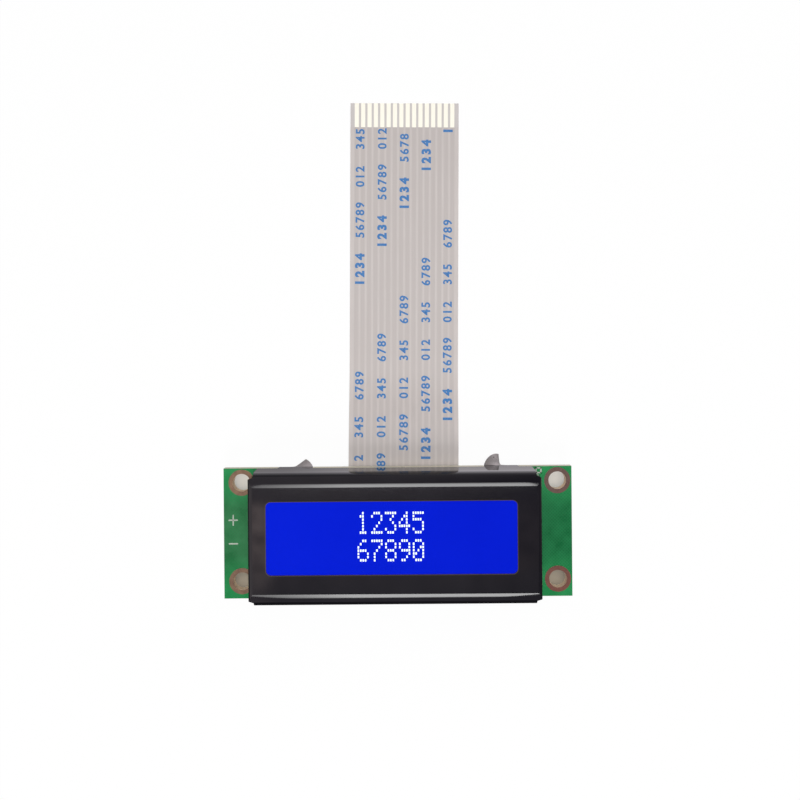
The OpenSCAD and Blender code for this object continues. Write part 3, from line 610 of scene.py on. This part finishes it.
# ---------------------------------------------------------------- driver chips under epoxy
# Two bare silicon chips bonded to the rear face, each under a drop of black epoxy that was
# poured warm and set with a glossy, slightly uneven skin.
tree, shader, place = finish_named("black_epoxy", gloss=0.5, coat=0.35, coat_rough=0.12)
lumps = grain(tree, place, 1.6 * MM, 2.0)
dust = grain(tree, place, 0.14 * MM, 4.0)
surface(tree, shader, tones(tree, dust, (22, 22, 24), (38, 37, 38), 0.35, 0.75),
        polish(tree, lumps, 0.24, 0.46),
        sum_of(tree, "MULTIPLY_ADD", dust, 0.12, lumps), 0.10 * MM)
dress("black_epoxy", "epoxy_domes")

tree, shader, place = finish_named("silicon", metal=0.7)
cell_size = 0.3 * MM
cells = put(tree, "TexVoronoi", {"distance": "CHEBYCHEV"}, Vector=place,
            Scale=1.0 / cell_size).outputs["Distance"]
surface(tree, shader, tones(tree, cells, (96, 98, 112), (128, 120, 140), 0.1, 0.8),
        range_of(tree, cells, 0.0, 0.8, 0.2, 0.35), cells, 0.002 * MM, 0.4)
dress("silicon", "driver_dies")

# ---------------------------------------------------------------- chip parts and solder
# Chip resistors are white ceramic with a black glaze on the outer face. Chip capacitors are
# fired tan ceramic. Both have tinned ends in small fillets of bright solder.
tree, shader, place = finish_named("glazed_ceramic", gloss=0.5)
glaze = range_of(tree, facing_up(tree), -0.8, -0.4, 1.0, 0.0)
speck = grain(tree, place, 0.08 * MM, 3.0)
white_side = tones(tree, speck, (204, 202, 194), (232, 230, 224))
black_glaze = tones(tree, speck, (24, 24, 26), (38, 38, 40))
surface(tree, shader, blend_of(tree, glaze, white_side, black_glaze),
        polish(tree, speck, 0.24, 0.42), speck, 0.01 * MM)
dress("glazed_ceramic", "resistor_bodies")

one_grain("tan_ceramic", 0.09, (150, 112, 78), (184, 148, 112), (0.42, 0.6), 0.012, detail=4.0, gloss=0.4)
dress("tan_ceramic", "capacitor_bodies")
one_grain("bright_solder", 0.22, (186, 188, 192), (224, 224, 224), (0.16, 0.36), 0.03, metal=1.0)
dress("bright_solder", "chip_solder", "pin_solder", "ribbon_solder")
one_grain("tinned_end", 0.05, (178, 178, 180), (210, 209, 206), (0.32, 0.5), 0.006, metal=1.0)
dress("tinned_end", "resistor_caps", "capacitor_caps", "backlight_pins")

# ---------------------------------------------------------------- backlight
# A moulded white tray under the cell holds a mirror film, a clear light guide and a diffuser,
# with three white lamps on a strip along one end, whose two pins are soldered in the board.
for node, name, low, high, size, rough in (
        ("backlight_housing", "white_moulding", (224, 224, 216), (240, 240, 234), 0.6, (0.42, 0.6)),
        ("reflector_film", "mirror_film", (232, 233, 236), (246, 246, 248), 1.0, (0.12, 0.2)),
        ("diffuser_film", "diffuser", (228, 232, 240), (244, 246, 250), 0.3, (0.5, 0.7)),
        ("lamp_board", "white_laminate", (214, 212, 200), (234, 232, 224), 0.3, (0.4, 0.55)),
        ("lamps_white", "phosphor_gel", (226, 214, 128), (244, 236, 172), 0.2, (0.2, 0.4))):
    one_grain(name, size, low, high, rough, 0.008, strength=0.4, gloss=0.4)
    dress(name, node)


def clear_sheet(node, name, low, high, see_through):
    """Clear plastic or glass in front of the light, polished on both faces."""
    one_grain(name, 1.2, low, high, (0.06, 0.14), 0.002, detail=2.0, strength=0.2, gloss=0.5,
              see_through=see_through)
    dress(name, node)


clear_sheet("light_guide", "clear_acrylic", (214, 226, 236), (232, 240, 246), 0.35)

# ---------------------------------------------------------------- elastomer connectors
# Two strips of silicone rubber, striped through with fine layers of carbon, are squeezed
# between gold lands on the board and the ledges of the front glass.
layer_pitch = 0.09 * MM
tree, shader, place = finish_named("striped_silicone", gloss=0.25)
layers = sum_of(tree, "PINGPONG", axes_of(tree, place)[0], layer_pitch)
carbon = range_of(tree, layers, 0.035 * MM, 0.055 * MM, 0.0, 1.0)
bloom = grain(tree, place, 0.4 * MM)
rubber = tones(tree, bloom, (206, 138, 140), (222, 162, 160))
surface(tree, shader, blend_of(tree, carbon, rubber, paint(44, 40, 42)),
        polish(tree, bloom, 0.55, 0.7), carbon, 0.01 * MM, 0.4)
dress("striped_silicone", "elastomer_strips")

# ---------------------------------------------------------------- liquid crystal cell
# Two panes of glass, sealed round a film of crystal that glows deep blue with painted backlight.
# Each has a polarizing film on its outer face, and the front one is acrylic with a low gloss.
clear_sheet("rear_glass", "rear_pane", (188, 208, 206), (206, 222, 220), 0.25)
clear_sheet("rear_polarizer", "rear_polarizing_film", (62, 70, 96), (78, 86, 112), 0.6)

blue_backlight_glow = ((0.2, (0.0015, 0.0108, 0.585, 1.0)), (0.8, (0.0021, 0.0132, 0.645, 1.0)))
# Painted backlight: the crystal film glows blue by itself, brighter towards the lamps at the left end.
tree, shader, place = finish_named("blue_crystal", colour=(0.0005, 0.001, 0.012, 1.0), gloss=0.0, glow=1.26)
clouds = grain(tree, place, 9.0 * MM, 1.0)
painted_glow_near_lamps = range_of(tree, axes_of(tree, place)[0], -20.0 * MM, 18.0 * MM, 0.55, 0.0)
lamp_light = sum_of(tree, "MULTIPLY_ADD", clouds, 0.6, painted_glow_near_lamps)
surface(tree, shader, shade(tree, lamp_light, *blue_backlight_glow), polish(tree, clouds, 0.45, 0.60),
        clouds, 0.002 * MM, 0.3, "Emission Color")
dress("blue_crystal", "crystal_layer")

one_grain("sealant", 0.3, (196, 196, 184), (216, 216, 206), (0.45, 0.6), 0.004, detail=2.0, strength=0.4,
          gloss=0.3)
dress("sealant", "cell_seal")
one_grain("front_pane", 2.0, (30, 50, 70), (40, 62, 84), (0.04, 0.08), 0.001, detail=1.0, strength=0.2,
          gloss=0.02, see_through=0.02)
dress("front_pane", "front_glass")
one_grain("front_polarizing_film", 0.15, (0, 2, 14), (2, 5, 24), (0.12, 0.18), 0.001, detail=2.0,
          strength=0.3, stretch=(1.0, 0.15, 1.0), gloss=0.01, see_through=0.10)
dress("front_polarizing_film", "front_polarizer")

# ---------------------------------------------------------------- lit digits
# Where the electrodes on the glass are driven, the crystal stands clear and glows with painted
# backlight, in two lines of five digits. Each digit is seven rows of five dots, with a bit for each dot.
digit_dots = {
    "1": (4, 12, 4, 4, 4, 4, 14), "2": (14, 17, 1, 2, 4, 8, 31), "3": (31, 2, 4, 2, 1, 17, 14),
    "4": (2, 6, 10, 18, 31, 2, 2), "5": (31, 16, 30, 1, 1, 17, 14), "6": (6, 8, 16, 30, 17, 17, 14),
    "7": (31, 1, 2, 4, 8, 8, 8), "8": (14, 17, 17, 14, 17, 17, 14), "9": (14, 17, 17, 15, 1, 2, 12),
    "0": (14, 17, 19, 21, 25, 17, 14)}
dot_width, dot_length, dot_depth, dot_lift = 0.235 * MM, 0.35 * MM, 0.012 * MM, 0.008 * MM
dot_pitch_x, dot_pitch_y, digit_pitch, line_pitch = 0.35 * MM, 0.48 * MM, 2.05 * MM, 4.11 * MM
text_x, text_y = -1.35 * MM, 0.0
dots_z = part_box("crystal_layer")[1].z + dot_lift
cream_backlight_glow = ((0.3, (0.82, 0.92, 0.82, 1.0)), (0.7, (0.92, 1.0, 0.90, 1.0)))
lit = []
for line_no, digits in enumerate(("12345", "67890")):
    for place_no, digit in enumerate(digits):
        for row, bits in enumerate(digit_dots[digit]):
            for column in range(5):
                if bits >> (4 - column) & 1:
                    lit.append((text_x + (place_no - 2) * digit_pitch + (column - 2) * dot_pitch_x,
                                text_y + (0.5 - line_no) * line_pitch + (3 - row) * dot_pitch_y, dots_z))
dot_tree, given = geometry_tree("lit_dots", "Width", "Length", "Depth")
size = step(dot_tree, "ShaderNodeCombineXYZ", X=given["Width"], Y=given["Length"], Z=given["Depth"])
dot = step(dot_tree, "GeometryNodeMeshCube", Size=size.outputs[0])
spread = step(dot_tree, "GeometryNodeInstanceOnPoints", Points=given["Geometry"], Instance=dot.outputs[0])
close_tree(dot_tree, given, spread.outputs[0])

# Painted backlight: the driven dots glow cream by themselves.
tree, shader, place = finish_named("lit_crystal", colour=(0.6, 0.7, 0.7, 1.0), glow=0.95)
soft = grain(tree, place, 0.5 * MM)
surface(tree, shader, shade(tree, soft, *cream_backlight_glow), polish(tree, soft, 0.45, 0.60),
        soft, 0.002 * MM, 0.3, "Emission Color")
grow("lit_dots", lit, [], dot_tree, "lit_crystal", "crystal_layer",
     Width=dot_width, Length=dot_length, Depth=dot_depth)

# ---------------------------------------------------------------- bezel
# One sheet of steel, stamped with its window, folded on four sides and stoved with gloss black
# enamel. Its four tabs pass the board and are twisted, which cracks the enamel off them; the pale
# bare steel painted over most of each tab is partly a painted sheen of grazing reflection. The cut
# rim of the window wears through to brown primer.
window_x, window_y, window_half_x, window_half_y, window_r = -1.19, -0.03, 18.54, 5.40, 0.75
tree, shader, place = finish_named("black_enamel", gloss=0.5)
axes = axes_of(tree, place)
from_corner = []
for axis, middle, half in ((0, window_x, window_half_x), (1, window_y, window_half_y)):
    beside = sum_of(tree, "ABSOLUTE", sum_of(tree, "SUBTRACT", axes[axis], middle * MM))
    from_corner.append(sum_of(tree, "SUBTRACT", beside, (half - window_r) * MM))
squares = [sum_of(tree, "POWER", sum_of(tree, "MAXIMUM", value, 0.0), 2.0) for value in from_corner]
outwards = sum_of(tree, "SQRT", sum_of(tree, "ADD", *squares))
inwards = sum_of(tree, "MINIMUM", sum_of(tree, "MAXIMUM", *from_corner), 0.0)
from_rim = sum_of(tree, "SUBTRACT", sum_of(tree, "ADD", outwards, inwards), window_r * MM)

specks = grain(tree, place, 0.10 * MM, 4.0)
rim_wear = sum_of(tree, "MULTIPLY", range_of(tree, from_rim, 0.03 * MM, 0.16 * MM, 1.0, 0.0),
                  range_of(tree, specks, 0.35, 0.6, 0.55, 1.0))
enamel = tones(tree, grain(tree, place, 5.0 * MM, 3.0), (15, 14, 19), (21, 20, 25))
with_rim = blend_of(tree, rim_wear, enamel, paint(76, 64, 36))
# Cracked enamel on the tabs, painted pale over most of each tab: partly real bare steel, partly a painted
# sheen.
on_tabs = range_of(tree, axes[2], -0.2 * MM, 0.1 * MM, 1.0, 0.0)
cracks_and_sheen = sum_of(tree, "MULTIPLY", on_tabs,
                 range_of(tree, grain(tree, place, 0.5 * MM, 4.0), 0.24, 0.33, 0.0, 1.0))
bare_steel_and_sheen = tones(tree, specks, (142, 136, 135), (172, 166, 164))
orange_peel = grain(tree, place, 0.9 * MM, 2.0)
surface(tree, shader, blend_of(tree, cracks_and_sheen, with_rim, bare_steel_and_sheen),
        sum_of(tree, "MULTIPLY_ADD", cracks_and_sheen, 0.26, polish(tree, specks, 0.038, 0.056)),
        sum_of(tree, "MULTIPLY_ADD", specks, 0.02, orange_peel), 0.0012 * MM, 0.4)
link_up(tree, (sum_of(tree, "MULTIPLY", cracks_and_sheen, 0.5), shader.inputs["Metallic"]))
dress("black_enamel", "bezel")

# ---------------------------------------------------------------- flat ribbon cable
# Sixteen flat tinned conductors laminated between two milky polyester films, soldered under the
# board, and stripped and stiffened at the free end. It leans a little and drops in two bends.
lean, lean_y = math.radians(0.65), 9.19 * MM
half_ways = ways / 2 * way_pitch


def ribbon_place(tree, place):
    """Coordinates square to the leaning ribbon: the distance across it, and all three."""
    shifted = put(tree, "Mapping", Vector=place, Location=(-ribbon_x, -lean_y, 0.0))
    turned = put(tree, "Mapping", Vector=shifted.outputs[0], Rotation=(0.0, 0.0, lean)).outputs[0]
    return axes_of(tree, turned)[0], turned


def beside_wire(tree, across):
    """Distance across the ribbon from the middle line of the nearest conductor."""
    in_pitch = sum_of(tree, "FLOORED_MODULO", sum_of(tree, "ADD", across, half_ways), way_pitch)
    return sum_of(tree, "ABSOLUTE", sum_of(tree, "SUBTRACT", in_pitch, way_pitch / 2))


def ribbon_film(node, name, tint):
    """Film that is a little paler in the gaps, where no conductor stands under it."""
    def tinted(marks, less, more):
        return tones(tree, marks, [value + less for value in tint], [value + more for value in tint])

    tree, shader, place = finish_named(name, gloss=0.4)
    across, square_on = ribbon_place(tree, place)
    over_wire = range_of(tree, beside_wire(tree, across), 0.24 * MM, 0.44 * MM, 1.0, 0.0)
    within = range_of(tree, sum_of(tree, "ABSOLUTE", across), 7.95 * MM, 8.05 * MM, 1.0, 0.0)
    wire = sum_of(tree, "MULTIPLY", over_wire, within)
    streak = grain(tree, square_on, 0.5 * MM, 3.0, (1.0, 0.06, 1.0))
    milk = grain(tree, square_on, 4.0 * MM, 2.0)
    surface(tree, shader, blend_of(tree, wire, tinted(milk, 9, 13), tinted(streak, -2, 3)),
            polish(tree, streak, 0.34, 0.48),
            sum_of(tree, "MULTIPLY_ADD", streak, 0.15, wire), 0.02 * MM)
    dress(name, node)


ribbon_film("ribbon_upper_film", "milky_polyester", (182, 174, 171))
ribbon_film("ribbon_lower_film", "milky_polyester_under", (184, 178, 176))

tree, shader, place = finish_named("tinned_copper", metal=0.25, gloss=0.3)
across, square_on = ribbon_place(tree, place)
drawn = grain(tree, square_on, 0.08 * MM, 3.0, (1.0, 0.05, 1.0))
thin_side = range_of(tree, beside_wire(tree, across), 0.30 * MM, 0.36 * MM, 0.0, 1.0)
tin = tones(tree, drawn, (232, 229, 215), (242, 239, 226))
surface(tree, shader, blend_of(tree, thin_side, tin, paint(196, 191, 188)),
        polish(tree, drawn, 0.40, 0.55), drawn, 0.008 * MM)
dress("tinned_copper", "ribbon_conductors")

tree, shader, place = finish_named("stiffener_board", gloss=0.35)
matt = grain(tree, ribbon_place(tree, place)[1], 0.25 * MM, 4.0, (1.0, 0.4, 1.0))
surface(tree, shader, tones(tree, matt, (184, 180, 180), (198, 194, 193)),
        polish(tree, matt, 0.45, 0.6), matt, 0.008 * MM)
dress("stiffener_board", "ribbon_stiffener")

# ---------------------------------------------------------------- print on the ribbon
# Plain digits in groups, printed in blue ink along five conductors of the upper film before it
# was cut to length. Each line is set 6 mm further along than the one beside it.
film_end_y, film, upper_level, lower_level = 62.56 * MM, 0.1 * MM, -0.2 * MM, -2.6 * MM
bend_start, bend_end, bend_r, bend_turn = 10.09 * MM, 26.89 * MM, 30.0 * MM, math.acos(0.96)
print_height, print_thick, print_repeat = 1.36 * MM, 0.022 * MM, 45.1 * MM
first_start, column_step, clear_start, clear_end = 37.68 * MM, 5.97 * MM, 9.5 * MM, 0.95 * MM
print_columns = (-7.0, -3.53, -0.05, 3.38, 6.78)
print_groups = (("1234", 0.0, "bold"), ("56789", 7.5, "plain"), ("012", 15.5, "plain"),
                ("345", 21.4, "plain"), ("6789", 27.2, "plain"))
digit_step, digit_weight = {"bold": 1.36, "plain": 1.17}, {"bold": 0.105, "plain": 0.05}


def ribbon_top(y):
    """Height of the upper film's outer face at a distance along the ribbon."""
    if y <= bend_start:
        return upper_level + film
    if y >= bend_end:
        return lower_level + film
    if y < bend_start + (bend_r + film) * math.sin(bend_turn):
        return upper_level - bend_r + math.sqrt((bend_r + film) ** 2 - (y - bend_start) ** 2)
    return lower_level + bend_r - math.sqrt((bend_r - film) ** 2 - (y - bend_end) ** 2)


def on_ribbon(co, column_x, along):
    """A digit's point on the film: its foot towards the right, its line up the ribbon."""
    across, y = column_x + print_height / 2 - co.y, along + co.x
    turned_x = across * math.cos(lean) + (y - lean_y) * math.sin(lean)
    turned_y = (y - lean_y) * math.cos(lean) - across * math.sin(lean)
    return (ribbon_x + turned_x, lean_y + turned_y, ribbon_top(y) + co.z)


plates, parts = {}, []
for column, column_x in enumerate(print_columns):
    for repeat in (-1, 0):
        start = first_start + column * column_step + repeat * print_repeat
        for digits, offset, style in print_groups:
            for n, digit in enumerate(digits):
                along = start + offset * MM + n * (digit_step[style] * MM)
                if not clear_start < along < film_end_y - clear_end:
                    continue
                if (digit, style) not in plates:
                    plates[digit, style] = digit_plate(digit, print_height, print_thick,
                                                       digit_weight[style] * MM)
                parts.append((plates[digit, style], column_x * MM, along))
one_grain("blue_ink", 0.2, (44, 108, 172), (70, 128, 186), (0.4, 0.6), 0.004, detail=4.0, high=0.75,
          gloss=0.35)
show("ribbon_print", merged("ribbon_print", parts, on_ribbon), "blue_ink")

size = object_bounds()
